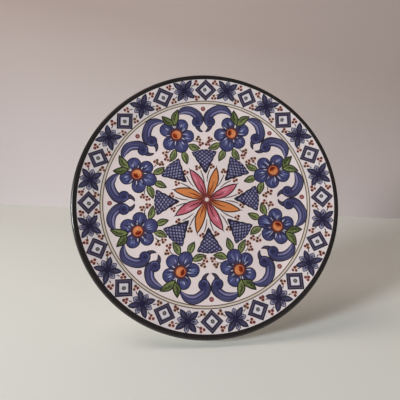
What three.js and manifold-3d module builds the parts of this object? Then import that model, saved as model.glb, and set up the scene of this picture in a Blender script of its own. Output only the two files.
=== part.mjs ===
// A ceramic wall plate: one shallow dish of fired clay with a sloping rim, a rounded lip and a foot ring.
// Millimetres, +Z up. The plate hangs upright. Its face looks along -Y, and its foot ring rests on a wall at Y = 0.
// The origin is on the foot ring's flat at the top, midway between the two holes that take a hanging wire.
import * as THREE from "three";
import * as BufferGeometryUtils from "three/addons/utils/BufferGeometryUtils.js";
import Module from "manifold-3d";

const wasm = await Module();
wasm.setup();

// Driving dimensions
const plateDiameter = 280;
const wallThickness = 6.5; // of the floor of the well
const lipThickness = 5.2; // of the rounded edge
const rimAngle = 15; // degrees between the rim and the well
const shoulderRadius = 100; // where the well turns up into the rim
const shoulderSoftness = 12; // how gently it turns
const footRadius = 80; // middle of the foot ring's flat
const footFlat = 6; // width of the flat that meets the wall
const footHeight = 5; // depth of the recess inside the foot ring
const footDraft = 1.6; // how far each side of the foot ring leans out over its height
const footChamfer = 0.7; // worn edges of the flat
const wireHoleDiameter = 3;
const wireHoleSpread = 44; // between the two holes, measured along the foot ring

const flatMargin = 1.3; // softnesses inside the shoulder where the flat of the well ends

// Fineness of the solid
const turns = 96; // facets round the plate
const flatRings = 2; // rings across the flat of the well
const rimStep = 5.5; // between rings on the curved stretch of the rim
const lipArcSteps = 7;
const holeSides = 14;
const drillOvershoot = 1; // past each side of the foot ring
const weldTolerance = 1e-4; // vertices closer than this are one

const plateRadius = plateDiameter / 2;
const lipRadius = lipThickness / 2;
const wellHeight = footHeight + wallThickness; // from the wall to the floor of the well
const rimSlope = Math.tan(THREE.MathUtils.degToRad(rimAngle));

// Height of the face above the wall at radius r: flat in the well, straight on the rim and smooth between.
function faceHeight(r) {
  const past = r - shoulderRadius;
  return wellHeight + (rimSlope * (Math.hypot(past, shoulderSoftness) + past)) / 2;
}

// Angle of the painted face at radius r, in radians.
function faceAngle(r) {
  const past = r - shoulderRadius;
  return Math.atan((rimSlope * (past / Math.hypot(past, shoulderSoftness) + 1)) / 2);
}

// Radii from start to end in even steps of about the given length, both ends included.
function radii(start, end, step) {
  const count = Math.max(1, Math.round(Math.abs(end - start) / step));
  return Array.from({ length: count + 1 }, (_, i) => start + ((end - start) * i) / count);
}

// The painted face, from the middle of the well to where the lip's rounding starts.
function facePoints(lipStart) {
  const curveStart = shoulderRadius - flatMargin * shoulderSoftness;
  const flat = radii(0, curveStart, curveStart / flatRings).slice(0, -1);
  return [...flat, ...radii(curveStart, lipStart, rimStep)].map((r) => new THREE.Vector2(r, faceHeight(r)));
}

// The lip: half a circle from the painted face round to the back.
function lipPoints(lean, centre) {
  return Array.from({ length: lipArcSteps }, (_, i) => {
    const turn = Math.PI / 2 + lean - (Math.PI * (i + 1)) / lipArcSteps;
    return new THREE.Vector2(centre.x + lipRadius * Math.cos(turn), centre.y + lipRadius * Math.sin(turn));
  });
}

// The underside of the rim, inwards to the foot ring, growing from the lip's thickness to the wall's.
function undersidePoints(lipEnd, footOuter) {
  const thickness = (r) => THREE.MathUtils.mapLinear(r, footOuter, lipEnd, wallThickness, lipThickness);
  return radii(lipEnd, footOuter, rimStep)
    .slice(1)
    .map((r) => new THREE.Vector2(r, faceHeight(r) - thickness(r) / Math.cos(faceAngle(r))));
}

// The foot ring and the flat recess inside it, ending on the axis.
function footPoints() {
  const half = footFlat / 2;
  const side = (sign, offset, height) => new THREE.Vector2(footRadius + sign * (half + offset), height);
  return [
    side(1, footChamfer, footChamfer),
    side(1, 0, 0),
    side(-1, 0, 0),
    side(-1, footChamfer, footChamfer),
    side(-1, footDraft + footChamfer, footHeight),
    new THREE.Vector2(0, footHeight),
  ];
}

// The whole section, from the middle of the face round to the middle of the back.
function sectionPoints() {
  const lean = faceAngle(plateRadius);
  const lipStart = plateRadius - lipRadius * (1 + Math.sin(lean));
  const lipHeight = faceHeight(lipStart) - lipRadius * Math.cos(lean);
  const centre = new THREE.Vector2(plateRadius - lipRadius, lipHeight);
  const lipEnd = plateRadius - lipRadius * (1 - Math.sin(lean));
  const footOuter = footRadius + footFlat / 2 + footDraft + footChamfer;
  return [
    ...facePoints(lipStart),
    ...lipPoints(lean, centre),
    ...undersidePoints(lipEnd, footOuter),
    ...footPoints(),
  ].reverse();
}

// A closed three.js geometry as a solid that can be cut.
function solidOf(geometry) {
  const bare = geometry.clone();
  bare.deleteAttribute("normal");
  bare.deleteAttribute("uv");
  const merged = BufferGeometryUtils.mergeVertices(bare, weldTolerance);
  const mesh = new wasm.Mesh({
    numProp: 3,
    vertProperties: new Float32Array(merged.attributes.position.array),
    triVerts: new Uint32Array(merged.index.array),
  });
  mesh.merge();
  return new wasm.Manifold(mesh);
}

// A cut solid as a three.js geometry.
function geometryOf(solid) {
  const { vertProperties, triVerts } = solid.getMesh();
  const geometry = new THREE.BufferGeometry();
  geometry.setAttribute("position", new THREE.BufferAttribute(vertProperties, 3));
  geometry.setIndex(new THREE.BufferAttribute(triVerts, 1));
  geometry.computeVertexNormals();
  return geometry;
}

// A drill that passes through the foot ring towards its middle, at an angle from the top.
function wireHole(angle) {
  const reach = footFlat + 2 * (footDraft + footChamfer + drillOvershoot);
  const drill = new THREE.CylinderGeometry(wireHoleDiameter / 2, wireHoleDiameter / 2, reach, holeSides);
  drill.translate(0, footRadius, 0);
  drill.rotateX(-Math.PI / 2);
  drill.rotateY(angle);
  drill.translate(0, footHeight / 2, 0);
  return drill;
}

// The plate about its own axis, which is the lathe's Y, with the top of the plate towards -Z.
function plateSolid() {
  const blank = solidOf(new THREE.LatheGeometry(sectionPoints(), turns));
  const angle = wireHoleSpread / footRadius / 2;
  return [-angle, angle].reduce((solid, at) => solid.subtract(solidOf(wireHole(at))), blank);
}

const glazedCeramic = new THREE.MeshStandardMaterial({
  name: "glazed_ceramic",
  color: new THREE.Color().setRGB(0.79, 0.75, 0.72),
  roughness: 0.18,
  metalness: 0,
});

const plate = new THREE.Mesh(geometryOf(plateSolid()), glazedCeramic);
plate.name = "plate";
plate.rotation.x = Math.PI;
plate.position.z = -footRadius;

const wallPlate = new THREE.Group();
wallPlate.add(plate);
export default wallPlate;
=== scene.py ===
# A painted ceramic wall plate, seen from the front on a plain pale ground.
# The scene is in metres. The plate's section and its painting are worked out in millimetres, in plan.
import math

import bmesh
import bpy
import numpy as np
from mathutils import Matrix, Vector
from mathutils.geometry import delaunay_2d_cdt


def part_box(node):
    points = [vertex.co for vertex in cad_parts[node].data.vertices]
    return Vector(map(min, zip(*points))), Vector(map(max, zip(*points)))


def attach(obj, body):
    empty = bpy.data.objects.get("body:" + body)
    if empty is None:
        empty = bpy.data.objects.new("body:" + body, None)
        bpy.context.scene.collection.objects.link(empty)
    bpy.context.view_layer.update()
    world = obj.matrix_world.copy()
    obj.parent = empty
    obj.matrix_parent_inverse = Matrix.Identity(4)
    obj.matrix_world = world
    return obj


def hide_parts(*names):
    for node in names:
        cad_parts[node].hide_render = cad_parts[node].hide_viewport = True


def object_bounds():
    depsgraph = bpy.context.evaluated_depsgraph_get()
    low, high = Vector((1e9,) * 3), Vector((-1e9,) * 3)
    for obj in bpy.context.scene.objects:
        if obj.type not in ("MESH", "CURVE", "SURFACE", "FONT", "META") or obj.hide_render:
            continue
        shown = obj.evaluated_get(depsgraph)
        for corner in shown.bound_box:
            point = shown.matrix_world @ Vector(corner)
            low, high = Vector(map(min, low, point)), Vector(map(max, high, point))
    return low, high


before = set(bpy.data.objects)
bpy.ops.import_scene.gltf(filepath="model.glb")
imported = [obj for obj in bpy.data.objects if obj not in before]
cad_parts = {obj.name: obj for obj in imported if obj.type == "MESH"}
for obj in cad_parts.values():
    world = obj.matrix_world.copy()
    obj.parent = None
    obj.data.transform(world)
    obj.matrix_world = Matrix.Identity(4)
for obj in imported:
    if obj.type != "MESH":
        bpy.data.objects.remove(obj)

cad_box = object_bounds()
MM = 0.001
TINY = 1e-6

# The plate's section: radius from its axis and height above the wall, as in the solid that it replaces
PLATE_LOW, PLATE_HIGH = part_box("plate")
PLATE_RADIUS = (PLATE_HIGH.x - PLATE_LOW.x) / 2 / MM
AXIS_HEIGHT = (PLATE_HIGH.z + PLATE_LOW.z) / 2 / MM
WALL_THICKNESS = 6.5
LIP_THICKNESS = 5.2
RIM_ANGLE = 15
SHOULDER_RADIUS = 100
SHOULDER_SOFTNESS = 12
FOOT_RADIUS = 80
FOOT_FLAT = 6
FOOT_HEIGHT = 5
FOOT_DRAFT = 1.6
FOOT_CHAMFER = 0.7
WIRE_HOLE_DIAMETER = 3
WIRE_HOLE_SPREAD = 44

LIP_RADIUS = LIP_THICKNESS / 2
WELL_HEIGHT = FOOT_HEIGHT + WALL_THICKNESS
RIM_SLOPE = math.tan(math.radians(RIM_ANGLE))
TURNS = 240


def face_height(r):
    past = r - SHOULDER_RADIUS
    return WELL_HEIGHT + RIM_SLOPE * (np.hypot(past, SHOULDER_SOFTNESS) + past) / 2


def face_slope(r):
    past = r - SHOULDER_RADIUS
    return RIM_SLOPE * (past / np.hypot(past, SHOULDER_SOFTNESS) + 1) / 2


LEAN = math.atan(face_slope(PLATE_RADIUS))
LIP_START = PLATE_RADIUS - LIP_RADIUS * (1 + math.sin(LEAN))
LIP_END = PLATE_RADIUS - LIP_RADIUS * (1 - math.sin(LEAN))
LIP_CENTRE = np.array([PLATE_RADIUS - LIP_RADIUS, face_height(LIP_START) - LIP_RADIUS * math.cos(LEAN)])
RIM_HEIGHT = face_height(LIP_START)
FOOT_OUTER = FOOT_RADIUS + FOOT_FLAT / 2 + FOOT_DRAFT + FOOT_CHAMFER

# Painted ornament, in millimetres on the plate's plan: x to the right, y up, seen from the front
BAND_INNER = 134.2
BAND_CENTRE = np.array([0.7, 0.4])
RING_LINES = (111.1, 108.4)
RING_LINE_WIDTH = 0.95
RING_CENTRE = np.array([-0.1, 0.6])
PATTERN_CENTRE = np.array([0.75, 0.85])
BORDER_CENTRE = np.array([0.6, 0.5])
MIDDLE_CENTRE = np.array([0.6, 1.7])
COPIES = 8
BORDER_COPIES = 16
FLOWER_RADIUS = 79.8
SQUARE_RADIUS = 122.8
CROSS_RADIUS = 123.8
# The last motifs of the border are pushed along clockwise, in degrees from the right
SLIP = 1.5
SLIP_MIDDLE = 103
SLIP_SPREAD = 36
SEED = 11

# Colours of the glaze, as screen values from 0 to 255
WHITE = (226, 213, 213)
BAND_WHITE = (216, 207, 210)
BLUISH_WHITE = (210, 205, 212)
CREAM = (206, 194, 180)
OLIVE_LINE = (84, 70, 58)
NAVY = (38, 36, 54)
DEEP_BLUE = (58, 58, 97)
BLUE = (70, 72, 116)
DULL_BLUE = (94, 94, 132)
LIGHT_BLUE = (120, 130, 178)
GLINT = (182, 188, 220)
GREEN_LINE = (38, 40, 30)
GREEN = (118, 128, 84)
GREEN_DARK = (86, 93, 62)
GREEN_LIGHT = (142, 154, 98)
ORANGE = (206, 128, 76)
PINK = (187, 96, 113)
PINK_LIGHT = (214, 140, 156)
PINK_LINE = (54, 24, 34)
ORANGE_LINE = (62, 36, 28)
STEM = (66, 63, 62)
BERRY = (98, 48, 47)
BERRY_BROWN = (82, 60, 42)
BERRY_CORE = (132, 70, 62)
BERRY_TINT = (221, 192, 182)
EDGE = (38, 34, 34)

rng = np.random.default_rng(SEED)
shapes = []


def linear(colour):
    c = np.asarray(colour, float) / 255
    return np.where(c <= 0.04045, c / 12.92, ((c + 0.055) / 1.055) ** 2.4)


class Spot:
    """A place on the plate with its own axes: y is outward and x is clockwise."""

    def __init__(self, centre, degrees):
        turn = math.radians(degrees)
        self.centre = np.asarray(centre, float)
        self.axes = np.array([[math.sin(turn), -math.cos(turn)], [math.cos(turn), math.sin(turn)]])

    def put(self, points):
        return self.centre + np.asarray(points, float) @ self.axes

    def local(self, points):
        return (np.asarray(points, float) - self.centre) @ np.linalg.inv(self.axes)

    def moved(self, place, degrees=0.0):
        """A spot at a place of this one, turned clockwise."""
        made = Spot(self.put(place), 90 - degrees)
        made.axes = made.axes @ self.axes
        return made

    def flipped(self):
        """This spot with left and right exchanged."""
        made = Spot(self.centre, 90)
        made.axes = np.array([[-1, 0], [0, 1]]) @ self.axes
        return made


def paint(spot, outline, colour, streaks=0.0, grain=None):
    """Adds a painted shape on top of the others. The outline, colour and grain are in the spot's own axes."""
    shapes.append(
        {
            "outline": spot.put(outline),
            "spot": spot,
            "colour": colour if callable(colour) else flat(colour),
            "streaks": streaks,
            "grain": grain or (lambda points: points),
        }
    )


def ramp(values, stops):
    places = [place for place, _ in stops]
    colours = np.array([linear(colour) for _, colour in stops])
    return np.stack([np.interp(values, places, colours[:, i]) for i in range(3)], -1)


def flat(colour):
    return lambda points: np.tile(linear(colour), (len(points), 1))


def along(start, end, *stops):
    """A colour that changes from start to end."""
    start, end = np.asarray(start, float), np.asarray(end, float)
    way = end - start
    return lambda points: ramp((points - start) @ way / (way @ way), stops)


def around(centre, *stops):
    """A colour that changes with the distance from a centre."""
    centre = np.asarray(centre, float)
    return lambda points: ramp(np.hypot(*(points - centre).T), stops)


def rays(centre, spread=12.0):
    """Brush grain that runs out from a centre."""
    centre = np.asarray(centre, float)

    def grain(points):
        way = points - centre
        return np.stack([np.arctan2(way[:, 1], way[:, 0]) * spread, np.hypot(*way.T)], -1)

    return grain


def lengthwise(start, end):
    """Brush grain that runs from start to end."""
    way = np.asarray(end, float) - np.asarray(start, float)
    way = way / np.hypot(*way)
    across = np.array([-way[1], way[0]])
    return lambda points: np.stack([points @ across, points @ way], -1)


def even_turns(count):
    return np.arange(count) * 2 * np.pi / count


def heading(turn):
    return np.array([math.cos(turn), math.sin(turn)])


def on_circle(turns):
    return np.stack([np.cos(turns), np.sin(turns)], -1)


def arc(centre, radius, *degrees):
    return [centre + radius * heading(turn) for turn in np.radians(degrees)]


def disc(centre, radius, count):
    return np.asarray(centre, float) + radius * on_circle(even_turns(count))


def spline(points, closed=False, steps=5):
    """A smooth curve through the points."""
    p = np.asarray(points, float)
    count = len(p)
    p = p[np.arange(-1, count + 2) % count] if closed else np.vstack([2 * p[0] - p[1], p, 2 * p[-1] - p[-2]])
    spans = count if closed else count - 1
    t = np.arange(steps)[:, None] / steps
    curve = [
        0.5 * (2 * b + (c - a) * t + (2 * a - 5 * b + 4 * c - d) * t**2 + (3 * b - a - 3 * c + d) * t**3)
        for a, b, c, d in (p[i : i + 4] for i in range(spans))
    ]
    if not closed:
        curve.append(p[-2][None])
    return np.vstack(curve)


def normals(points, closed):
    if closed:
        way = np.roll(points, -1, 0) - np.roll(points, 1, 0)
    else:
        way = np.gradient(points, axis=0)
    way = way / np.maximum(np.hypot(*way.T), 1e-9)[:, None]
    return np.stack([way[:, 1], -way[:, 0]], -1)


def is_clockwise(outline):
    x, y = outline.T
    return np.sum(x * np.roll(y, -1) - np.roll(x, -1) * y) < 0


def inset(outline, depth):
    side = 1 if is_clockwise(outline) else -1
    return outline + side * depth * normals(outline, True)


def by_hand(outline, amount):
    """The same outline with the slow waver of a brush."""
    turns = even_turns(len(outline))
    waver = sum(rng.normal() / k * np.sin(k * turns + rng.uniform(0, 2 * np.pi)) for k in (2, 3, 4, 5, 7))
    return outline + amount * waver[:, None] * normals(outline, True)


def drop(base, centre, base_radius, radius, count=30):
    """A round petal: a circle at the centre that narrows towards its base."""
    base, centre = np.asarray(base, float), np.asarray(centre, float)
    way = centre - base
    lean = math.asin((radius - base_radius) / np.hypot(*way))
    outward = math.atan2(way[1], way[0])
    half = math.pi / 2 + lean
    head = centre + radius * on_circle(outward + np.linspace(-half, half, count))
    foot = base + base_radius * on_circle(outward + np.linspace(half, 2 * math.pi - half, count // 3))
    return np.vstack([head, foot])


def leaf(base, tip, width, belly=0.45, bend=0.0, steps=12, fullness=1.0):
    """A pointed oval from base to tip. bend bows it to its left, and a low fullness fills its ends."""
    base, tip = np.asarray(base, float), np.asarray(tip, float)
    way = tip - base
    left = np.array([-way[1], way[0]]) / np.hypot(*way)
    t = np.linspace(0, 1, steps + 1)
    spine = base + t[:, None] * way + (bend * np.sin(np.pi * t))[:, None] * left
    swell = np.clip(np.sin(np.pi * t ** (math.log(0.5) / math.log(belly))), 0, 1)
    half = width / 2 * swell**fullness
    return np.vstack([spine + half[:, None] * left, (spine - half[:, None] * left)[-2:0:-1]])


def ribbon(points, widths, edges=(0.0, 1.0), steps=5):
    """The part of a brush stroke between two shares of its width, 0 at its right edge and 1 at its left."""
    spine = spline(points, steps=steps)
    marks = np.linspace(0, len(points) - 1, len(spine))
    wide = np.interp(marks, np.arange(len(points)), np.broadcast_to(widths, len(points)))
    right = normals(spine, False)
    one_edge, other_edge = (spine + (0.5 - share) * wide[:, None] * right for share in edges)
    return np.vstack([one_edge, other_edge[::-1]])


def line(spot, points, width, colour, steps=4):
    paint(spot, ribbon(points, width, steps=steps), colour)


def outlined(spot, outline, line_colour, width, colour, streaks=0.0, grain=None, waver=0.08):
    """A shape with a painted outline of that width."""
    paint(spot, outline, line_colour, 0.25, grain)
    paint(spot, by_hand(inset(outline, width), waver), colour, streaks, grain)


def jitter(amount):
    return rng.uniform(-amount, amount, 2)


# Big flowers: round petals given by their centres and radii, from the middle of the flower
PETALS = (
    ((-11.0, -6.0), 7.3),
    ((10.5, -6.7), 7.4),
    ((-7.2, 8.7), 7.4),
    ((9.2, 7.2), 7.5),
    ((-0.5, -14.0), 7.7),
)
SLITS = (74, 82, 12, -18, 158, 196, 237, 300)
HEART_RADIUS = 5.0
HEART_EDGE = (200, 116, 84)
HEART_LIGHT = (216, 146, 98)
HEART_MIDDLE = (201, 122, 74)
HEART_DARK = (170, 84, 54)
HALO_POINTS = 30
HALO_RADIUS = 6.6
HALO_BROWN = (114, 52, 38)
HALO_PLUM = (76, 47, 50)
HALO_BLUE = (60, 52, 70)
HEART_SHADOW = (
    (-3.4, 1.4), (-2.4, 3.3), (0, 4.2), (2.6, 3.2), (3.5, 1.0), (1.8, 0.4), (0, -0.6), (-1.6, 0.5),
)
HEART_TURN = -92


def petal(spot, centre, radius):
    """A round petal with streaks that run out from the flower's middle, some of them pale."""
    centre = np.asarray(centre) + jitter(0.4)
    reach = np.hypot(*centre)
    way = centre / reach
    side = np.array([-way[1], way[0]])
    outline = by_hand(drop(way * 4.2, centre, 3.4, radius + rng.uniform(0.0, 0.5)), 0.18)
    grain = rays((0, 0))
    fill = around((0, 0), (6.5, (66, 54, 68)), (9.5, DEEP_BLUE), (14.5, BLUE), (reach + radius, DEEP_BLUE))
    outlined(spot, outline, NAVY, 0.9, fill, 0.9, grain)

    def streak(share, start, length, width, middle, *colours):
        base = way * start + side * share * 3.0
        tip = way * (start + length - 3.0 * share**2) + side * share * 5.4
        fill = along(base, tip, *zip((0, middle, 1), colours))
        paint(spot, leaf(base, tip, width, 0.55, steps=8), fill, 0.7, grain)

    room = reach + radius - 8.8
    for share in np.linspace(-1, 1, 9) + rng.uniform(-0.1, 0.1, 9):
        colour = (NAVY, NAVY, BLUE, DULL_BLUE)[rng.integers(4)]
        length = room * rng.uniform(0.75, 0.98)
        streak(share, rng.uniform(7.0, 8.4), length, rng.uniform(0.8, 1.5), 0.4, NAVY, colour, BLUE)
    for share in rng.uniform(-0.8, 0.8, 4):
        tone = (DULL_BLUE, LIGHT_BLUE)[rng.integers(2)]
        length = room * rng.uniform(0.5, 0.9)
        streak(share, rng.uniform(7.4, 9.5), length, rng.uniform(0.9, 1.6), 0.5, BLUE, tone, BLUE)
    length, width, share = room * rng.uniform(0.35, 0.6), rng.uniform(0.8, 1.2), rng.uniform(-0.7, 0.7)
    streak(share, rng.uniform(7.4, 9.8), length, width, 0.5, LIGHT_BLUE, GLINT, DULL_BLUE)


def heart(spot):
    """The orange middle of a flower, with its ragged dark ring and a dark red shadow on one side."""
    count = HALO_POINTS
    reach = np.where(np.arange(count) % 2, HALO_RADIUS + rng.uniform(0.2, 1.8, count), HALO_RADIUS - 0.7)
    halo = around((0, 0), (5.0, HALO_BROWN), (6.4, HALO_PLUM), (8.0, HALO_BLUE))
    paint(spot, reach[:, None] * on_circle(even_turns(count)), halo, 0.6, rays((0, 0)))
    inner = spot.moved(jitter(0.4), HEART_TURN + rng.uniform(-14, 14))
    grain = lengthwise((0, 0), (1, 0.3))
    paint(inner, by_hand(disc((0, 0), HEART_RADIUS, 24), 0.2), HEART_EDGE, 0.8, grain)
    fill = along((0, -4), (0, 4), (0, HEART_LIGHT), (0.5, HEART_MIDDLE), (1, HEART_DARK))
    paint(inner, disc((0, 0), HEART_RADIUS - 0.8, 22), fill, 0.9, grain)
    crescent = by_hand(spline(HEART_SHADOW, True), 0.2)
    depth = rng.uniform(0, 1)
    core = (150 - 60 * depth, 50 - 26 * depth, 20)
    shadow = along((0, -0.5), (0, 4.0), (0, (172, 74, 30)), (0.45, core), (1, (104, 34, 20)))
    paint(inner, crescent, shadow, 0.7)


def flower(spot):
    for centre, radius in PETALS:
        petal(spot, centre, radius)
    for degrees in SLITS:
        way = heading(math.radians(degrees + rng.uniform(-5, 5)))
        length = rng.uniform(2.0, 7.0)
        blade = leaf(way * 6.8, way * (6.8 + length), rng.uniform(0.6, 1.2), steps=6)
        paint(spot, blade, along(way * 7, way * 12, (0, (206, 196, 202)), (1, GLINT)))
    heart(spot)


# Leaves round a flower: base, tip, width and bow, from the middle of the flower
LEAF_GREENS = (GREEN_LIGHT, GREEN, GREEN_DARK)
DIM_GREENS = ((130, 142, 88), (104, 113, 74), (76, 83, 55))
SHADED_GREENS = ((116, 128, 78), (88, 96, 62), (62, 70, 46))
OUTER_LEAVES = (
    ((3.0, 11.0), (-6.4, 25.6), 8.7, 1.4, SHADED_GREENS),
    ((2.4, 10.0), (12.9, 25.5), 8.9, 1.3, DIM_GREENS),
)
INNER_LEAVES = (
    ((-7.5, -14.5), (-19.3, -25.2), 7.8, 0.9, LEAF_GREENS),
    ((-1.5, -19.6), (-2.6, -35.0), 7.9, 0.3, LEAF_GREENS),
    ((6.5, -15.7), (18.2, -25.4), 8.0, -0.9, LEAF_GREENS),
)


def leaf_blade(spot, base, tip, width, bend, greens):
    """A leaf with a dark outline, a vein, a paler base and short side veins."""
    light, green, dark = greens
    base, tip = np.asarray(base) + jitter(0.3), np.asarray(tip) + jitter(0.7)
    way = (tip - base) / np.hypot(*(tip - base))
    left = np.array([-way[1], way[0]])
    grain = lengthwise(base, tip)
    outline = by_hand(leaf(base, tip, width, 0.45, bend, 14, 0.85), 0.15)
    fill = along(base, tip, (0, light), (0.35, green), (0.75, green), (1, dark))
    outlined(spot, outline, GREEN_LINE, 1.15, fill, 0.9, grain)
    for side, tone in ((1, dark), (-1, light)):
        share = rng.uniform(0.15, 0.22)
        start = base + share * (tip - base) + side * share * left * width
        end = tip - 3.2 * way + side * 0.05 * left * width
        blend = along(base, tip, (0, green), (0.5, tone), (1, dark))
        paint(spot, leaf(start, end, width * 0.22, 0.45, bend, 8), blend, 0.9, grain)
    for share in (0.35, 0.55, 0.72):
        start = base + share * (tip - base) + bend * math.sin(math.pi * share) * left
        for side in (-1, 1):
            end = start + 0.11 * (tip - base) + side * 0.2 * width * (1.3 - share) * left
            line(spot, [start, end], (0.6, 0.25), GREEN_LINE, 2)
    vein = leaf(base, tip - 1.2 * way, 1.0, 0.35, bend, 8)
    paint(spot, vein, along(base, tip, (0, (156, 168, 96)), (0.3, dark), (1, GREEN_LINE)))


# Scrolls: the middle line of the stroke from its tail to its head, and its width there
RIGHT_SPINE = (
    (31.9, 91.2), (30.4, 94.6), (28.1, 97.6), (25.1, 100.0), (21.9, 101.4), (18.4, 101.7), (14.0, 100.6),
    (9.9, 98.4), (6.9, 95.8), (5.5, 92.9), (5.6, 90.2), (6.3, 87.6),
)
RIGHT_WIDTHS = (0.5, 3.4, 6.2, 8.4, 9.6, 10.1, 10.1, 10.2, 10.7, 11.4, 11.4, 11.2)
LEFT_SPINE = (
    (28.2, 97.0), (26.0, 98.7), (23.2, 100.1), (19.8, 100.9), (16.0, 100.9), (12.3, 99.7), (8.9, 97.4),
    (6.5, 94.8), (5.5, 92.3), (5.6, 89.8), (6.3, 87.4),
)
LEFT_WIDTHS = (2.2, 5.2, 7.5, 9.0, 9.8, 9.9, 10.2, 10.6, 11.3, 11.4, 11.2)
SCROLL_EDGE = (62, 59, 82)
HEAD_CENTRE = (7.0, 87.7)
HEAD_RADIUS = 6.0
BEAK = ((3.4, 84.0), (4.1, 81.2), (2.8, 78.8), (0.9, 76.6), (4.0, 76.3), (7.2, 78.4), (9.4, 82.4))


def scroll(spot, spine, widths):
    spine = np.asarray(spine) + rng.uniform(-0.15, 0.15, (len(spine), 2))
    head = np.asarray(HEAD_CENTRE) + jitter(0.2)
    middle = spline(spine)

    def grain(points):
        """How far a point is across the stroke and along it."""
        gaps = np.hypot(points[:, None, 0] - middle[None, :, 0], points[:, None, 1] - middle[None, :, 1])
        nearest = gaps.argmin(1)
        right = normals(middle, False)
        offset = np.sum((points - middle[nearest]) * right[nearest], -1)
        return np.stack([offset, nearest * 1.2], -1)

    def band(start, end, colour, streaks=0.7):
        paint(spot, ribbon(spine, widths, (start, end)), colour, streaks, grain)

    def tail_to_head(*stops):
        return along(spine[0], spine[-1], *stops)

    beak = by_hand(spline(BEAK, True, 4), 0.08)
    outlined(spot, beak, NAVY, 0.8, along((3, 76), (6, 84), (0, (66, 57, 70)), (1, (70, 65, 92))), 0.5)
    paint(spot, by_hand(disc(head, HEAD_RADIUS, 30), 0.08), NAVY)
    paint(spot, by_hand(ribbon(spine, widths), 0.06), NAVY, 0.2, grain)
    band(0.09, 0.48, tail_to_head((0, (64, 60, 82)), (0.25, SCROLL_EDGE), (1, SCROLL_EDGE)))
    band(0.13, 0.20, tail_to_head((0, SCROLL_EDGE), (0.5, DULL_BLUE), (1, SCROLL_EDGE)))
    band(0.25, 0.33, tail_to_head((0, DEEP_BLUE), (0.5, BLUE), (1, BLUE)))
    band(0.36, 0.44, tail_to_head((0, BLUE), (0.4, (94, 96, 138)), (0.8, (86, 86, 124)), (1, BLUE)))
    band(0.48, 0.60, DEEP_BLUE, 0.5)
    broad = tail_to_head((0, DULL_BLUE), (0.15, (116, 115, 146)), (0.7, (88, 88, 126)), (1, DEEP_BLUE))
    pale = tail_to_head((0, (136, 129, 170)), (0.5, (140, 132, 172)), (0.8, (132, 126, 168)), (1, BLUE))
    band(0.61, 0.88, broad)
    band(0.67, 0.75, pale, 0.4)
    fill = around(head, (0, NAVY), (3.0, DEEP_BLUE))
    paint(spot, disc(head, HEAD_RADIUS - 0.9, 28), fill, 0.8)
    line(spot, arc(head, 4.3, -60, -110, -160, -205), (0.3, 0.9, 0.9, 0.3), (96, 98, 140))
    line(spot, arc(head, 5.3, 110, 70, 35, 10), (0.3, 0.9, 1.0, 0.5), NAVY)


# Nets: a triangle that points inwards, filled with crossed lines
NET_LEFT, NET_RIGHT, NET_APEX, NET_CROWN = (-14.2, 53.4), (13.2, 53.7), (-0.3, 29.0), (-0.5, 56.0)
NET_LINE = 0.65
NET_POINT = 0.22
NET_EDGE = (44, 40, 54)
NET_SPACING = 3.05
NET_SLANT = 36


def clipped(point, way, fence):
    """The start and end of the line through point inside a convex fence, or None."""
    low, high = -1e3, 1e3
    turn = -1 if is_clockwise(fence) else 1
    for a, b in zip(fence, np.roll(fence, -1, 0)):
        edge = b - a
        inward = turn * np.array([-edge[1], edge[0]])
        slope, gap = inward @ way, inward @ (point - a)
        if abs(slope) < 1e-9:
            if gap < 0:
                return None
        elif slope > 0:
            low = max(low, -gap / slope)
        else:
            high = min(high, -gap / slope)
    return (point + low * way, point + high * way) if high - low > 1 else None


def net(spot):
    corners = np.array([NET_LEFT, NET_CROWN, NET_RIGHT, NET_APEX]) + rng.uniform(-0.3, 0.3, (4, 2))
    left, crown, right, apex = corners
    top = spline([left, crown, right], steps=6)
    outline = np.vstack([top, spline([right, apex], steps=8)[1:], spline([apex, left], steps=8)[1:-1]])
    sides = [np.hypot(*(b - a)) for a, b in ((right, apex), (apex, left), (left, right))]
    middle = (sides[0] * left + sides[1] * right + sides[2] * apex) / sum(sides)
    (x1, y1), (x2, y2) = right - left, apex - left
    scallop = 0.6 * (np.arange(len(outline)) % 2)
    paint(spot, inset(outline, -scallop[:, None]), NET_EDGE, 0.2)
    pulled = apex + NET_POINT * (middle - apex)
    inner_size = 1 - NET_LINE * sum(sides) / abs(x1 * y2 - x2 * y1)
    fence = middle + (np.vstack([top, pulled]) - middle) * inner_size
    paint(spot, fence, around(middle, (0, (148, 146, 182)), (9, (118, 116, 154))), 0.9)
    for slant in (-NET_SLANT, NET_SLANT):
        way = heading(math.radians(slant + rng.uniform(-3, 3)))
        across = np.array([-way[1], way[0]])
        for step in range(-6, 7):
            start = middle + across * (step * NET_SPACING + rng.uniform(-0.3, 0.3))
            ends = clipped(start, way, fence)
            if ends:
                line(spot, np.linspace(*ends, 4), rng.uniform(1.1, 1.4), (50, 47, 72), 2)


BERRY_SPREAD = 1.9
BERRY_RADIUS = 1.5


def berries(spot, place, brown=0.3):
    """Three berries close together, over the tint that they leave in the glaze."""
    first = rng.uniform(0, 360)
    paint(spot, by_hand(disc(place, 3.2, 12), 0.2), BERRY_TINT)
    for i in range(3):
        turn = math.radians(first + 120 * i + rng.uniform(-14, 14))
        centre = np.asarray(place) + (BERRY_SPREAD + rng.uniform(-0.2, 0.2)) * heading(turn)
        colour = BERRY_BROWN if rng.random() < brown else BERRY
        paint(spot, disc(centre, BERRY_RADIUS + rng.uniform(-0.15, 0.15), 9), colour)
        paint(spot, disc(centre + (-0.2, 0.2), 0.4, 5), BERRY_CORE)


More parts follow.
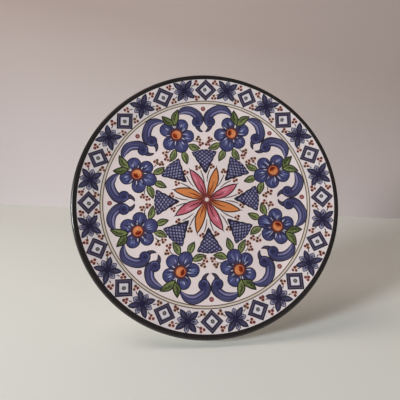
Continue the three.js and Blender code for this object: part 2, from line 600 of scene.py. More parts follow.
def twig(spot, side):
    """A forked stem beside a flower, with berries on both ends."""
    fork = np.array([side * 17.0, -15.4]) + jitter(0.3)
    near, far = np.array([side * 20.4, -20.4]) + jitter(0.4), np.array([side * 20.1, -14.0]) + jitter(0.4)
    line(spot, [(side * 13.6, -14.2), (side * 15.4, -14.4), fork], 0.95, STEM)
    line(spot, [fork, (fork + far) / 2 + (0, 0.4), far], 0.85, STEM)
    line(spot, [fork, (fork + near) / 2 + (side * 0.5, 0), near], 0.85, STEM)
    berries(spot, far, 0.7 if side > 0 else 0.4)
    berries(spot, near, 0.2)


# Middle flower: alternate orange and pink petals
STAR_TIP = 37.8
STAR_WIDTH = 10.9
STAR_LEAN = 2.8
STAR_BOW = 1.5


def star_petal(spot, is_pink):
    """One long petal, whose tip curls anticlockwise and ends in a fine point."""
    tip = np.array([-0.7, STAR_TIP + rng.uniform(-0.8, 0.8)])
    base = np.array([0.0, 1.4])
    grain = lengthwise(base, tip)
    dark = PINK_LINE if is_pink else ORANGE_LINE
    stops = (
        ((0, (162, 88, 86)), (0.2, (180, 96, 104)), (0.5, PINK), (0.8, PINK), (1, PINK_LIGHT))
        if is_pink
        else ((0, (166, 94, 70)), (0.2, (194, 114, 68)), (0.45, ORANGE), (0.85, ORANGE), (1, (214, 156, 112)))
    )
    outline = by_hand(leaf(base, tip, STAR_WIDTH + rng.uniform(-0.4, 0.4), 0.52, -STAR_BOW, 20, 0.75), 0.12)
    warm = (116, 55, 50)
    rim = along(base, tip, (0, warm), (0.15, warm), (0.4, dark), (1, dark))
    outlined(spot, outline, rim, 1.3, along(base, tip, *stops), 0.6, grain)
    line(spot, [tip - (0.2, 1.0), tip, tip + (-0.5, 1.8)], (1.0, 0.8, 0.4), dark)
    if is_pink:
        for place, length, width in ((-1.8, 15, 2.2), (1.6, 9, 1.5)):
            start = 15 + rng.uniform(-2, 3)
            pale = leaf((place, start), (place * 0.5, start + length), width, 0.5, -0.6, 8)
            tones = along((0, start), (0, start + length), (0, PINK), (0.5, PINK_LIGHT), (1, PINK))
            paint(spot, pale, tones, 0.8, grain)
    vein = (82, 24, 38) if is_pink else (100, 42, 24)
    fill = along((0, 3), (0, 12), (0, warm), (1, vein))
    line(spot, [(0.1, 3), (0.8, 9), (1.4, 15), (1.2, 21)], (1.2, 1.3, 1.1, 0.4), fill)
    line(spot, [(-0.6, 5), (-0.9, 10), (-0.8, 14)], (0.9, 0.8, 0.3), vein)


def middle_flower():
    middle = Spot(MIDDLE_CENTRE, 90)
    ground = around((0, 0), (3, (120, 44, 40)), (6, (150, 74, 64)), (7.5, (186, 140, 130)))
    paint(middle, disc((0, 0), 7.5, 32), ground)
    for i in range(COPIES):
        spot = Spot(MIDDLE_CENTRE, 22.5 + 45 * i + STAR_LEAN + rng.uniform(-1, 1))
        star_petal(spot, i % 2 == 0)
    glow = np.tile((1.8, 3.2), COPIES)[:, None] * disc((0, 0), 1, 2 * COPIES)
    paint(Spot(MIDDLE_CENTRE, 96), glow, around((0, 0), (1.2, (226, 206, 206)), (3.4, (150, 110, 116))))


def sprigs(spot):
    """A fine stem on each side of a net's point, with berries beyond their ends."""
    for stem in (((-1.8, 18.6), (-3.0, 25.6), (-5.4, 33.2)), ((1.0, 20.0), (2.0, 27.0), (4.4, 33.8))):
        line(spot, stem, (0.6, 1.2, 1.0), STEM)
    berries(spot, (-8.4, 36.0), 0.5)
    berries(spot, (6.7, 37.4), 0.3)


def ring_mark(spot):
    for radius, colour in ((2.5, (124, 58, 56)), (1.15, (160, 116, 112))):
        paint(spot, by_hand(disc((0, 102.45), radius, 16), 0.05), colour)


# Border: squares on their points, and crosses of dark and pale petals between them
# A square's layers: share of its size, waver, colour, streaks and the slant of the brush
SQUARE_LAYERS = (
    (1.0, 0.15, (44, 39, 54), 0.9, 1),
    (0.84, 0.12, (86, 80, 104), 1.0, -1),
    (0.74, 0.12, (52, 47, 64), 0.9, 1),
    (0.51, 0.1, (196, 192, 206), 0.1, 0),
    (0.44, 0.1, BLUISH_WHITE, 0.1, 0),
)


def square(spot):
    across, out = 11.9 + rng.uniform(-0.6, 0.5), 11.3 + rng.uniform(-0.3, 0.3)
    middle = np.array([0.0, SQUARE_RADIUS])
    corners = np.array([(across, 0), (0, out), (-across, 0), (0, -out)])
    for share, waver, colour, streaks, lean in SQUARE_LAYERS:
        outline = by_hand(straight_sides(corners * share + middle, 5), waver)
        paint(spot, outline, colour, streaks, lengthwise((0, 0), (1, lean)) if lean else None)
    dot = middle + jitter(0.6) + (-0.4, 0)
    paint(spot, by_hand(disc(dot, 2.1, 14), 0.12), (84, 80, 78))
    paint(spot, disc(dot, 0.8, 9), (128, 124, 118))


def straight_sides(corners, steps):
    """A polygon with points along its straight sides."""
    ends = np.roll(corners, -1, 0)
    return np.vstack([a + (b - a) * i / steps for a, b in zip(corners, ends) for i in range(steps)])


CROSS_DARK = ((10.6, 9.6), (-10.6, 9.6), (-9.8, -10.1), (9.9, -9.8))
CROSS_PALE = ((0, 10.8), (11.2, -0.8), (0, -10.9), (-11.4, -0.6))


def cross(spot):
    middle = np.array([0.0, CROSS_RADIUS])
    for tip in CROSS_PALE:
        tip = np.asarray(tip) + jitter(0.4)
        base, end = middle + 0.1 * tip, middle + tip
        outline = by_hand(leaf(base, end, 5.6, 0.6, steps=9, fullness=0.85), 0.12)
        tones = (0.1, BLUE), (0.5, (106, 103, 128)), (0.8, (160, 157, 176)), (1, (122, 118, 142))
        fill = along(base, end, *tones)
        outlined(spot, outline, (58, 55, 76), 0.85, fill, 0.9, lengthwise(base, end))
        paint(spot, leaf(middle + 0.3 * tip, middle + 0.8 * tip, 1.9, 0.5, steps=6), (64, 62, 88), 0.6)
        side = np.array([-tip[1], tip[0]]) * 0.3
        for whisker in (tip + side, tip - side):
            line(spot, [middle + 0.45 * whisker, middle + 0.8 * whisker], (0.8, 0.4), (70, 70, 96), 2)
    for tip in CROSS_DARK:
        tip = np.asarray(tip) + jitter(0.5)
        grain = lengthwise(middle, middle + tip)
        outline = by_hand(leaf(middle, middle + tip, 6.2, 0.52, steps=10, fullness=0.85), 0.15)
        paint(spot, outline, along(middle, middle + tip, (0, NAVY), (1, (48, 44, 60))), 0.8, grain)
        inner = leaf(middle + 0.15 * tip, middle + 0.9 * tip, 3.8, 0.5, steps=8)
        fill = along(middle, middle + tip, (0, NAVY), (0.5, (60, 57, 82)), (1, (56, 54, 76)))
        paint(spot, inner, fill, 1.0, grain)
        glint = leaf(middle + 0.4 * tip, middle + 0.85 * tip, 1.0, 0.5, steps=6)
        paint(spot, glint, (74, 76, 108), 1.0, grain)
    paint(spot, by_hand(disc(middle, 3.0, 12), 0.4), (36, 34, 62), 0.8)


BORDER_BERRIES = ((-10.4, 7.1, 0.1), (10.1, 7.1, 0.1), (-9.2, -8.0, 0.6), (8.9, -7.6, 0.6))


def border_berries(spot):
    """Four clusters round a square, each on a fine stem that runs to the cross beside it."""
    for x, y, brown in BORDER_BERRIES:
        place = np.array([x, SQUARE_RADIUS + y]) + jitter(0.4)
        side = math.copysign(1, x)
        up = math.copysign(1, y)
        stem = [place + (side * x, -up * y) for x, y in ((1.4, 1.2), (3.4, 2.6), (5.4, 3.6))]
        line(spot, stem, (0.9, 0.9, 0.6), STEM)
        line(spot, [stem[1], stem[1] + (side * 1.6, up * 0.2)], (0.8, 0.4), STEM)
        berries(spot, place, brown)


def rings():
    paint(Spot(BAND_CENTRE, 90), by_hand(disc((0, 0), BAND_INNER, 240), 0.3), BAND_WHITE, 0.12)
    outer, inner = RING_LINES
    half = RING_LINE_WIDTH / 2
    for radius, colour in (
        (outer + half, OLIVE_LINE),
        (outer - half, CREAM),
        (inner + half, OLIVE_LINE),
        (inner - half, WHITE),
    ):
        paint(Spot(RING_CENTRE, 90), disc((0, 0), radius, 240), colour, 0.12)


def slipped(degrees):
    """A direction in the border, moved along clockwise near the place where the painter closed it."""
    gap = (degrees - SLIP_MIDDLE + 180) % 360 - 180
    return degrees - SLIP * math.exp(-((gap / SLIP_SPREAD) ** 2))


def border():
    for i in range(BORDER_COPIES):
        cross(Spot(BORDER_CENTRE, slipped(90 - 11.25 - 22.5 * i)))
    for i in range(BORDER_COPIES):
        spot = Spot(BORDER_CENTRE, slipped(90 - 22.5 * i))
        border_berries(spot)
        square(spot)


def wreath():
    """The eight scroll pairs, flowers, leaves, nets and sprigs of the well."""
    for i in range(COPIES):
        spot = Spot(PATTERN_CENTRE, 90 + 0.4 - 45 * i)
        sprigs(spot)
        net(spot)
        scroll(spot, RIGHT_SPINE, RIGHT_WIDTHS)
        scroll(spot.flipped(), LEFT_SPINE, LEFT_WIDTHS)
        ring_mark(spot)
    for i in range(COPIES):
        spot = Spot(PATTERN_CENTRE, 67.5 + 0.6 - 45 * i).moved((0.4, FLOWER_RADIUS))
        for blade in INNER_LEAVES:
            leaf_blade(spot, *blade)
        twig(spot, -1)
        twig(spot, 1)
        flower(spot)
        paint(spot, disc((2.6, 11.6), 2.2, 12), GREEN_LINE)
        for blade in OUTER_LEAVES:
            leaf_blade(spot, *blade)


def draw_all():
    rings()
    border()
    middle_flower()
    wreath()
    return shapes


# Mesh of the face: the plan is cut along every painted outline and then raised to the section
FILL_SPACING = 1.9
EDGE_STREAKS = 0.3
EDGE_GRAIN = 0.4
SEED_STEP = 3.7
FILL_CLEARANCE = 0.7
CUT_TOLERANCE = 0.02
PAINT_LIMIT = LIP_START - 0.3


def circle(radius):
    """Points round the plate's axis, from the top and clockwise, one for each turn of the lathe."""
    return radius * on_circle(even_turns(TURNS))[:, ::-1]


def fill_points(taken):
    """An even grid of points over the face, clear of the points that are taken."""
    rows = np.arange(-PLATE_RADIUS, PLATE_RADIUS, FILL_SPACING * math.sqrt(3) / 2)
    columns = np.arange(-PLATE_RADIUS, PLATE_RADIUS, FILL_SPACING)
    grid = np.array([(x + FILL_SPACING / 2 * (i % 2), y) for i, y in enumerate(rows) for x in columns])
    grid = grid[np.hypot(*grid.T) < LIP_START - FILL_SPACING / 2]
    cells = {}
    for x, y in taken:
        cells.setdefault((int(x // FILL_SPACING), int(y // FILL_SPACING)), []).append((x, y))

    def is_clear(x, y):
        column, row = int(x // FILL_SPACING), int(y // FILL_SPACING)
        near = (cells.get((column + i, row + j), ()) for i in (-1, 0, 1) for j in (-1, 0, 1))
        return all((x - a) ** 2 + (y - b) ** 2 > FILL_CLEARANCE**2 for cell in near for a, b in cell)

    return np.array([(x, y) for x, y in grid if is_clear(x, y)])


def cut_plan(shapes):
    """Points and triangles of the plan, cut along the rim and every outline."""
    outlines = [circle(LIP_START)]
    for shape in shapes:
        reach = np.hypot(*shape["outline"].T)
        outlines.append(shape["outline"] * np.minimum(1, PAINT_LIMIT / np.maximum(reach, 1))[:, None])
    edges = []
    start = 0
    for outline in outlines:
        own = np.arange(start, start + len(outline))
        edges.append(np.stack([own, np.roll(own, -1)], -1))
        start += len(outline)
    drawn = np.vstack(outlines)
    points = np.vstack([drawn, fill_points(drawn)])
    corners, _, triangles, *_ = delaunay_2d_cdt(
        [Vector(p) for p in points], np.vstack(edges).tolist(), [], 0, CUT_TOLERANCE, False
    )
    return np.array([tuple(c) for c in corners]), np.array(triangles)


def inside(points, outline):
    """Which points lie in a closed outline."""
    x, y = points.T[:, :, None]
    (x0, y0), (x1, y1) = outline.T, np.roll(outline, -1, 0).T
    straddles = (y0 > y) != (y1 > y)
    rise = np.where(y1 == y0, 1, y1 - y0)
    return np.sum(straddles & (x < x0 + (y - y0) * (x1 - x0) / rise), 1) % 2 == 1


def topmost(centres, shapes):
    """The number of the last shape painted over each centre, or -1."""
    order = np.argsort(centres[:, 0])
    left_to_right = centres[order]
    found = np.full(len(centres), -1)
    for number in range(len(shapes) - 1, -1, -1):
        outline = shapes[number]["outline"]
        low, high = outline.min(0), outline.max(0)
        start, end = np.searchsorted(left_to_right[:, 0], (low[0], high[0]))
        rows = left_to_right[start:end, 1]
        near = start + np.flatnonzero((rows > low[1]) & (rows < high[1]) & (found[start:end] < 0))
        for part in np.array_split(near, len(near) // 20000 + 1):
            found[part[inside(left_to_right[part], outline)]] = number
    result = np.empty_like(found)
    result[order] = found
    return result


def painted_face(shapes):
    """The face's plan points and triangles, with the paint and brush grain at each triangle's corners."""
    points, triangles = cut_plan(shapes)
    centres = points[triangles].mean(1)
    top = topmost(centres, shapes)
    top[~inside(centres, shapes[0]["outline"])] = -1
    paint_of = np.ones((len(triangles), 3, 4))
    stroke_of = np.zeros((len(triangles), 3, 3))
    paint_of[:, :, :3] = linear(EDGE)
    paint_of[:, :, 3] = EDGE_STREAKS
    stroke_of[:, :, :2] = points[triangles] * EDGE_GRAIN
    by_shape = np.argsort(top, kind="stable")
    starts = np.searchsorted(top[by_shape], np.arange(len(shapes) + 1))
    for number, shape in enumerate(shapes):
        own = by_shape[starts[number] : starts[number + 1]]
        if len(own):
            local = shape["spot"].local(points[triangles[own]].reshape(-1, 2))
            paint_of[own, :, :3] = shape["colour"](local).reshape(-1, 3, 3)
            paint_of[own, :, 3] = shape["streaks"]
            stroke_of[own, :, :2] = shape["grain"](local).reshape(-1, 3, 2)
            stroke_of[own, :, 2] = number * SEED_STEP
    return points, triangles, paint_of, stroke_of


# Mesh of the lip, the underside and the foot
LIP_STEPS = 14
UNDERSIDE_STEP = 3.0
ROUNDING_STEPS = 5
FOOT_FILLET_START = 3.2
RECESS_FILLET_END = 4
FOOT_ROUNDINGS = (1.6, 0.8, 0.8, 1.6)
DRILL_SIDES = 24
CAP_MARGIN = 0.1
CAP_DEPTH = 0.5
RECESS_STEP = 6.0
EDGE_PAINT_END = 133.6
EDGE_PAINT_WAVER = 0.55
EDGE_PAINT_WAVES = ((3, 0.5, 1), (7, 0.3, 2), (16, 0.25, 0), (29, 0.2, 0))


def underside_height(r):
    share = (r - FOOT_OUTER) / (LIP_END - FOOT_OUTER)
    thickness = WALL_THICKNESS + share * (LIP_THICKNESS - WALL_THICKNESS)
    return face_height(r) - thickness / np.cos(np.arctan(face_slope(r)))


def edge_paint_end(turn):
    """Radius where the dark edge's paint ends on the underside, at an angle from the top."""
    wave = sum(size * np.sin(times * turn + start) for times, size, start in EDGE_PAINT_WAVES)
    return EDGE_PAINT_END + EDGE_PAINT_WAVER * wave


def rounded(corners, radii):
    """A section with an arc of the given radius at each corner that has one."""
    result = [corners[0]]
    for before, corner, after, radius in zip(corners, corners[1:], corners[2:], radii):
        a, b = before - corner, after - corner
        a, b = a / np.hypot(*a), b / np.hypot(*b)
        half = math.acos(np.clip(a @ b, -1, 1)) / 2
        way = (a + b) / np.hypot(*(a + b))
        centre = corner + way * radius / math.sin(half)
        start, end = (corner + side * radius / math.tan(half) - centre for side in (a, b))
        turn = math.atan2(start[0] * end[1] - start[1] * end[0], start @ end)
        for angle in np.linspace(0, turn, ROUNDING_STEPS):
            c, s = math.cos(angle), math.sin(angle)
            result.append(centre + (start[0] * c - start[1] * s, start[0] * s + start[1] * c))
    result.append(corners[-1])
    return result


def lip_section():
    """Half a circle round the edge, kept within the depth of the solid that it replaces."""
    turns = math.pi / 2 + LEAN - np.pi * np.arange(LIP_STEPS + 1) / LIP_STEPS
    section = LIP_CENTRE + LIP_RADIUS * on_circle(turns)
    section[:, 1] = np.minimum(section[:, 1], -PLATE_LOW.y / MM)
    return section


def foot_section():
    half = FOOT_FLAT / 2
    outer, inner = FOOT_OUTER, FOOT_RADIUS - half - FOOT_DRAFT - FOOT_CHAMFER
    beyond = outer + FOOT_FILLET_START
    corners = [
        (beyond, underside_height(beyond)),
        (outer, underside_height(outer)),
        (FOOT_RADIUS + half + FOOT_CHAMFER / 2, 0),
        (FOOT_RADIUS - half - FOOT_CHAMFER / 2, 0),
        (inner, FOOT_HEIGHT),
        (inner - RECESS_FILLET_END, FOOT_HEIGHT),
    ]
    return rounded([np.array(c) for c in corners], FOOT_ROUNDINGS)


def turned(section, turn):
    """World places of a section turned to an angle from the top, clockwise as seen from the front."""
    r, height = np.moveaxis(np.asarray(section, float), -1, 0)
    return np.stack([r * np.sin(turn), -height, AXIS_HEIGHT + r * np.cos(turn)], -1) * MM


def blank():
    """The plate with a coarse cap in place of its painted face, as one closed mesh."""
    foot = foot_section()
    under = np.arange(EDGE_PAINT_END - UNDERSIDE_STEP, foot[0][0], -UNDERSIDE_STEP)
    recess = np.arange(foot[-1][0] - RECESS_STEP, RECESS_STEP, -RECESS_STEP)
    rings = []
    for i in range(TURNS):
        turn = 2 * math.pi * i / TURNS
        end = edge_paint_end(turn)
        section = np.vstack(
            [
                lip_section(),
                [(end, underside_height(end))],
                np.stack([under, underside_height(under)], -1),
                foot,
                np.stack([recess, np.full(len(recess), FOOT_HEIGHT)], -1),
            ]
        )
        rings.append(turned(section, turn))
    count = len(section)
    places = np.vstack(rings + [turned([(0, FOOT_HEIGHT)], 0), turned([(0, RIM_HEIGHT)], 0)])
    back_middle, cap_middle = TURNS * count, TURNS * count + 1
    faces = []
    for i in range(TURNS):
        here, there = i * count, (i + 1) % TURNS * count
        faces += [(here + k, there + k, there + k + 1, here + k + 1) for k in range(count - 1)]
        faces.append((here + count - 1, there + count - 1, back_middle))
        faces.append((there, here, cap_middle))
    return mesh_object("blank", places, faces)


def mesh_object(name, places, faces):
    mesh = bpy.data.meshes.new(name)
    mesh.from_pydata([tuple(p) for p in places], [], faces)
    made = bpy.data.objects.new(name, mesh)
    bpy.context.scene.collection.objects.link(made)
    return made


def drill(turn):
    """A rod that passes through the foot ring at an angle from the top."""
    mesh = bpy.data.meshes.new("drill")
    rod = bmesh.new()
    reach = (FOOT_FLAT + 4 * FOOT_DRAFT) * MM
    radius = WIRE_HOLE_DIAMETER / 2 * MM
    size = {"radius1": radius, "radius2": radius, "depth": reach}
    bmesh.ops.create_cone(rod, cap_ends=True, segments=DRILL_SIDES, **size)
    place = Matrix.Translation(turned((FOOT_RADIUS, FOOT_HEIGHT / 2), turn).tolist())
    bmesh.ops.transform(rod, matrix=place @ Matrix.Rotation(turn, 4, "Y"), verts=rod.verts)
    rod.to_mesh(mesh)
    rod.free()
    made = bpy.data.objects.new("drill", mesh)
    bpy.context.scene.collection.objects.link(made)
    return made


def pierced(solid):
    """The solid's mesh with the two wire holes cut through its foot ring."""
    half = WIRE_HOLE_SPREAD / FOOT_RADIUS / 2
    drills = [drill(turn) for turn in (-half, half)]
    for rod in drills:
        cut = solid.modifiers.new("wire_hole", "BOOLEAN")
        cut.operation = "DIFFERENCE"
        cut.solver = "EXACT"
        cut.object = rod
    shape = solid.evaluated_get(bpy.context.evaluated_depsgraph_get())
    mesh = bpy.data.meshes.new_from_object(shape)
    for made in (solid, *drills):
        bpy.data.objects.remove(made)
    return mesh


def back_parts():
    """Places and faces of everything but the painted face, without the cap."""
    mesh = pierced(blank())
    places = np.array([tuple(v.co) for v in mesh.vertices]) / MM
    faces = []
    for polygon in mesh.polygons:
        corners = list(polygon.vertices)
        x, y, z = places[corners].mean(0)
        is_inner = np.hypot(x, z - AXIS_HEIGHT) < LIP_START - CAP_MARGIN
        if not (is_inner and -y > RIM_HEIGHT - CAP_DEPTH):
            faces.append(corners)
    return places, faces


BACK_GLAZE = (226, 218, 208)
CLAY_HEIGHT = 0.4
BACK_STREAKS = 0.1
LIP_MARGIN = 0.2


def back_paint(places, faces):
    """Paint, brush grain and material number at every corner of the back's faces."""
    paints, strokes, kinds = [], [], []
    edge, glaze = (*linear(EDGE), EDGE_STREAKS), (*linear(BACK_GLAZE), BACK_STREAKS)
    for corners in faces:
        x, y, z = places[corners].mean(0) - (0, 0, AXIS_HEIGHT)
        is_edge = math.hypot(x, z) > edge_paint_end(math.atan2(x, z)) or -y > RIM_HEIGHT - LIP_RADIUS
        kinds.append(1 if -y < CLAY_HEIGHT else 0)
        for corner in corners:
            px, py, pz = places[corner]
            paints.append(edge if is_edge else glaze)
            strokes.append((px * EDGE_GRAIN, (pz - AXIS_HEIGHT) * EDGE_GRAIN, -py * EDGE_GRAIN))
    return np.array(paints), np.array(strokes), np.array(kinds)


# The unwrapped plate: the painted face as one disc, and the back with the lip as another, seen from behind
FACE_DISC_RADIUS = 0.44
FACE_DISC_CENTRE = (0.445, 0.555)
BACK_DISC_RADIUS = 0.135
BACK_DISC_CENTRE = (0.86, 0.14)


def unwrap_face(points):
    return np.asarray(FACE_DISC_CENTRE) + points / LIP_START * FACE_DISC_RADIUS


def unwrap_back(places, faces):
    """Distance along the section becomes distance from the middle of the disc."""
    corners = np.concatenate([np.asarray(f) for f in faces])
    x, y, z = places[corners].T
    z = z - AXIS_HEIGHT
    r = np.hypot(x, z)
    on_lip = -y > underside_height(np.minimum(r, LIP_END)) + LIP_MARGIN
    round_lip = np.arctan2(-y - LIP_CENTRE[1], r - LIP_CENTRE[0]) + math.pi / 2 - LEAN
    along_section = r + on_lip * (LIP_END - r + LIP_RADIUS * np.clip(round_lip, 0, math.pi))
    scale = BACK_DISC_RADIUS / (LIP_END + math.pi * LIP_RADIUS) * along_section / np.maximum(r, TINY)
    return np.asarray(BACK_DISC_CENTRE) + np.stack([-x * scale, z * scale], -1)


# Joining the face to the rest
SAME_PLACE = 0.01
RIM_REACH = 0.05
SHARP_ANGLE = math.radians(40)


def turn_number(x, y):
    """The step of the lathe that a point of the rim is on."""
    return round(math.atan2(x, y) / (2 * math.pi) * TURNS) % TURNS


def join_rim(places, points):
    """The number of each point of the face in the mesh, where the rim's points are the lip's own."""
    rim_of = {}
    for number, (x, y, z) in enumerate(places):
        from_axis = math.hypot(x, z - AXIS_HEIGHT)
        if abs(from_axis - LIP_START) < SAME_PLACE and abs(-y - RIM_HEIGHT) < SAME_PLACE:
            rim_of[turn_number(x, z - AXIS_HEIGHT)] = number
    numbers = len(places) + np.arange(len(points))
    for number in np.flatnonzero(np.hypot(*points.T) > LIP_START - RIM_REACH):
        numbers[number] = rim_of[turn_number(*points[number])]
    return numbers


def without_spares(places, faces):
    """The places that faces use, and the faces with the new numbers of these."""
    used = np.zeros(len(places), bool)
    used[np.concatenate([np.asarray(f) for f in faces])] = True
    renumber = np.cumsum(used) - 1
    return places[used], [renumber[f].tolist() for f in faces]


def fill_layer(layer, field, back, face):
    layer.data.foreach_set(field, np.concatenate([back.ravel(), face.ravel()]))


def shade(mesh, face_corners):
    """Smooth shading, with normals on the face that follow its section and not its small triangles."""
    mesh.polygons.foreach_set("use_smooth", np.ones(len(mesh.polygons), bool))
    mesh.set_sharp_from_angle(angle=SHARP_ANGLE)
    normals_of = np.empty(len(mesh.loops) * 3)
    mesh.corner_normals.foreach_get("vector", normals_of)
    normals_of = normals_of.reshape(-1, 3)
    reach = np.maximum(np.hypot(*face_corners.T), TINY)
    outward = -face_slope(reach)[:, None] * face_corners / reach[:, None]
    own = np.stack([outward[:, 0], -np.ones(len(outward)), outward[:, 1]], -1)
    normals_of[-len(own) :] = own / np.linalg.norm(own, axis=1)[:, None]
    mesh.normals_split_custom_set(normals_of.tolist())


def wall_plate():
    """The whole plate as one closed mesh: the lip, underside and foot first, and then the painted face."""
    points, triangles, face_paint, face_stroke = painted_face(draw_all())
    places, faces = back_parts()
    raised = np.stack([points[:, 0], -face_height(np.hypot(*points.T)), AXIS_HEIGHT + points[:, 1]], -1)
    back_colour, back_stroke, back_kind = back_paint(places, faces)
    all_faces = faces + join_rim(places, points)[triangles].tolist()
    used_places, used_faces = without_spares(np.vstack([places, raised]), all_faces)
    made = mesh_object("wall_plate", used_places * MM, used_faces)
    mesh = made.data
    corners = points[triangles].reshape(-1, 2)
    fill_layer(mesh.color_attributes.new("paint", "FLOAT_COLOR", "CORNER"), "color", back_colour, face_paint)
    fill_layer(mesh.attributes.new("stroke", "FLOAT_VECTOR", "CORNER"), "vector", back_stroke, face_stroke)
    fill_layer(mesh.uv_layers.new(name="OFBake"), "uv", unwrap_back(places, faces), unwrap_face(corners))
    for material in (painted_glaze(), bare_clay()):
        mesh.materials.append(material)
    kinds = np.concatenate([back_kind, np.zeros(len(triangles), int)])
    mesh.polygons.foreach_set("material_index", kinds)
    shade(mesh, corners)
    return made


# Materials
def new_material(name, roughness):
    material = bpy.data.materials.new(name)
    material.use_nodes = True
    shader = material.node_tree.nodes["Principled BSDF"]
    shader.inputs["Roughness"].default_value = roughness
    return material, shader


def feed(material, node, sockets):
    """Gives each socket a number or the output of another node."""
    for key, value in sockets.items():
        if isinstance(value, bpy.types.NodeSocket):
            material.node_tree.links.new(value, node.inputs[key])
        else:
            node.inputs[key].default_value = value


def add_node(material, kind, sockets, **settings):
    node = material.node_tree.nodes.new(kind)
    for name, value in settings.items():
        setattr(node, name, value)
    feed(material, node, sockets)
    return node


def noise(material, vector, scale, detail=2.0, rough=0.5):
    sockets = {"Vector": vector, "Scale": scale, "Detail": detail, "Roughness": rough}
    return add_node(material, "ShaderNodeTexNoise", sockets).outputs["Fac"]


def remap(material, value, old, new):
    """The value moved from one range to another."""
    sockets = {"Value": value, "From Min": old[0], "From Max": old[1], "To Min": new[0], "To Max": new[1]}
    return add_node(material, "ShaderNodeMapRange", sockets).outputs["Result"]


def calculate(material, operation, *values):
    return add_node(material, "ShaderNodeMath", dict(enumerate(values)), operation=operation).outputs[0]


def scaled(material, operation, sockets):
    return add_node(material, "ShaderNodeVectorMath", sockets, operation=operation).outputs[0]


def bump(material, height, strength, distance, **below):
    sockets = {"Height": height, "Strength": strength, "Distance": distance, **below}
    return add_node(material, "ShaderNodeBump", sockets).outputs["Normal"]


def between(material, share, low_colour, high_colour):
    """The colour at a share of the way from one to another."""
    node = add_node(material, "ShaderNodeValToRGB", {"Fac": share})
    for stop, colour in zip(node.color_ramp.elements, (low_colour, high_colour)):
        stop.color = (*linear(colour), 1)
    return node.outputs["Color"]


def object_place(material):
    return add_node(material, "ShaderNodeTexCoord", {}).outputs["Object"]


NOISE_RANGE = (0.3, 0.7)
STREAK_FREQUENCY = (1.3, 0.16, 1.0)
STREAK_DEPTH = 1.3
CLOUDINESS = (0.97, 1.02)
GLAZE_ROUGHNESS = (0.12, 0.2)
CLAY_ROUGHNESS = (0.75, 0.95)
CLAY_DARK = (150, 112, 88)
CLAY_PALE = (206, 172, 142)


def painted_glaze():
    """Paint under a clear glaze: brush streaks along each stroke, faint cloudiness and a soft gloss."""
    material, shader = new_material("painted_glaze", 0.16)
    colour = add_node(material, "ShaderNodeAttribute", {}, attribute_name="paint").outputs
    stroke = add_node(material, "ShaderNodeAttribute", {}, attribute_name="stroke").outputs["Vector"]
    place = object_place(material)
    stretched = scaled(material, "MULTIPLY", {0: stroke, 1: STREAK_FREQUENCY})
    centred = calculate(material, "SUBTRACT", noise(material, stretched, 1.0, 3.0), 0.5)
    depth = calculate(material, "MULTIPLY", colour["Alpha"], STREAK_DEPTH)
    lift = calculate(material, "MULTIPLY_ADD", centred, depth, 1.0)
    cloud = remap(material, noise(material, place, 22, 3.0), NOISE_RANGE, CLOUDINESS)
    lightness = calculate(material, "MULTIPLY", lift, cloud)
    waves = bump(material, noise(material, place, 45), 0.05, 0.002)
    sockets = {
        "Base Color": scaled(material, "SCALE", {0: colour["Color"], "Scale": lightness}),
        "Roughness": remap(material, noise(material, place, 60), NOISE_RANGE, GLAZE_ROUGHNESS),
        "Normal": bump(material, noise(material, place, 900), 0.03, 0.0003, Normal=waves),
    }
    feed(material, shader, sockets)
    return material


def bare_clay():
    """The unglazed flat of the foot ring: buff clay, darker where it has been handled."""
    material, shader = new_material("bare_clay", 0.85)
    place = object_place(material)
    handled = noise(material, place, 120, 5.0, 0.65)
    sockets = {
        "Base Color": between(material, handled, CLAY_DARK, CLAY_PALE),
        "Roughness": remap(material, noise(material, place, 300), NOISE_RANGE, CLAY_ROUGHNESS),
        "Normal": bump(material, noise(material, place, 1400, 4.0), 0.5, 0.0003),
    }
    feed(material, shader, sockets)
    return material


# Studio: a floor and a wall, both tipped with the plate, which leans back in the view and is upright here
FLOOR_GAP = 0.0015
FLOOR_TILT = math.radians(15)
WALL_TURN = math.radians(-26)
FLOOR_DEPTH = 2.2
WALL_DISTANCE = 1.01
WALL_TOP = 2.0
STAGE_HALF_WIDTH = 2.6
FLOOR_COLOUR = (244, 250, 244)
# The wall's two colours and their ramp are painted light and shade: bright low and to the left, darker
# upwards and to the right
WALL_LIT_LOW_COLOUR = (237, 233, 236)
WALL_SHADED_HIGH_COLOUR = (175, 162, 157)
WALL_SHADE_RANGE = (-0.45, 0.7)
WALL_SHADE_LEAN = 0.5


def backdrop():
    lowest = Vector((0, 0, cad_box[0].z - FLOOR_GAP))
    tip = Matrix.Translation(lowest) @ Matrix.Rotation(FLOOR_TILT, 4, "X")
    wall = tip @ Matrix.Translation((0, WALL_DISTANCE, 0)) @ Matrix.Rotation(WALL_TURN, 4, "Z")
    rows = ((tip, -FLOOR_DEPTH, 0), (wall, 0, 0), (wall, 0, WALL_TOP))
    sides = (-STAGE_HALF_WIDTH, STAGE_HALF_WIDTH)
    places = [frame_of @ Vector((x, y, z)) for frame_of, y, z in rows for x in sides]
    made = mesh_object("backdrop", places, [(0, 1, 3, 2), (2, 3, 5, 4)])
    made.data.materials.append(paper("floor_paper", FLOOR_COLOUR, FLOOR_COLOUR))
    made.data.materials.append(paper("wall_paper_painted_shade", WALL_LIT_LOW_COLOUR, WALL_SHADED_HIGH_COLOUR))
    made.data.polygons[1].material_index = 1


def paper(name, low_colour, high_colour):
    """Matt paper that changes from one colour to another upwards and to the right; on the wall this is
    painted light and shade, bright low on the left and darker up and to the right.
    """
    material, shader = new_material(name, 0.9)
    place = object_place(material)
    split = add_node(material, "ShaderNodeSeparateXYZ", {0: place}).outputs
    across = calculate(material, "MULTIPLY", split["X"], WALL_SHADE_LEAN)
    share = remap(material, calculate(material, "ADD", split["Z"], across), WALL_SHADE_RANGE, (0, 1))
    sockets = {
        "Base Color": between(material, share, low_colour, high_colour),
        "Normal": bump(material, noise(material, place, 500), 0.1, 0.0003),
    }
    feed(material, shader, sockets)
    return material


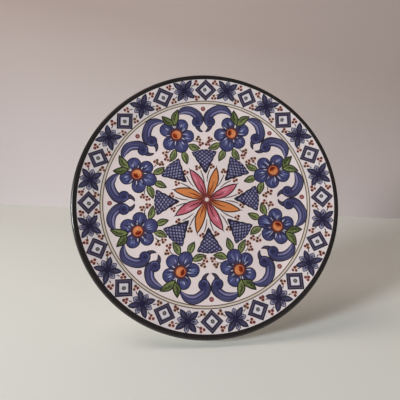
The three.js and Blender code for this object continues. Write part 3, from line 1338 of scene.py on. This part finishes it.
def soft_light(name, place, aim, side, power, colour):
    data = bpy.data.lights.new(name, "AREA")
    data.shape = "SQUARE"
    data.size = side
    data.energy = power
    data.color = colour
    made = bpy.data.objects.new(name, data)
    made.location = place
    made.rotation_euler = (Vector(aim) - Vector(place)).to_track_quat("-Z", "Y").to_euler()
    bpy.context.scene.collection.objects.link(made)


KEY_TINT = (0.96, 0.98, 1.0)
FILL_TINT = (1.0, 0.85, 0.78)
FILL_STRENGTH = 0.1
PLATE_MIDDLE = (0, 0, AXIS_HEIGHT * MM)
# Name, place, what it is aimed at, side, power in watts and tint
LIGHTS = (
    ("key", (-1.48, -1.32, 0.13), PLATE_MIDDLE, 0.4, 32.5, KEY_TINT),
    ("top", (-0.9, -0.5, 1.5), PLATE_MIDDLE, 1.0, 10.5, FILL_TINT),
    ("back", (-1.2, 0.9, 0.9), (-0.9, 1.1, 0.1), 0.9, 1.2, FILL_TINT),
)


def studio_light():
    for light in LIGHTS:
        soft_light(*light)
    world = bpy.data.worlds.new("room")
    world.use_nodes = True
    background = world.node_tree.nodes["Background"]
    background.inputs["Color"].default_value = (*FILL_TINT, 1)
    background.inputs["Strength"].default_value = FILL_STRENGTH
    bpy.context.scene.world = world
    bpy.context.scene.view_settings.view_transform = "Standard"


# Camera, as turned and moved from the plate's own axes
PHOTO_SIZE = 400
FOCAL_PIXELS = 350
SENSOR = 36
CAMERA_PITCH = -0.162689
CAMERA_YAW = 0.051928
CAMERA_ROLL = 0.026010
CAMERA_SHIFT = (6.76, -1.18)
CAMERA_DISTANCE = 373.787
CAMERA_CLIP = (0.01, 20)


def camera():
    data = bpy.data.cameras.new("camera")
    data.sensor_width = SENSOR
    data.lens = FOCAL_PIXELS / PHOTO_SIZE * SENSOR
    data.clip_start, data.clip_end = CAMERA_CLIP
    made = bpy.data.objects.new("camera", data)
    turn = (
        Matrix.Rotation(CAMERA_YAW, 4, "Y")
        @ Matrix.Rotation(CAMERA_PITCH, 4, "X")
        @ Matrix.Rotation(CAMERA_ROLL, 4, "Z")
    )
    shift = Matrix.Translation(Vector((*CAMERA_SHIFT, -CAMERA_DISTANCE)) * MM)
    middle_of_well = Matrix.Translation(Vector((0, -WELL_HEIGHT, AXIS_HEIGHT)) * MM)
    made.matrix_world = middle_of_well @ Matrix.Rotation(math.pi / 2, 4, "X") @ (shift @ turn).inverted()
    bpy.context.scene.collection.objects.link(made)
    bpy.context.scene.camera = made


camera()
studio_light()
backdrop()
plate = wall_plate()
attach(plate, "root")
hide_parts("plate")
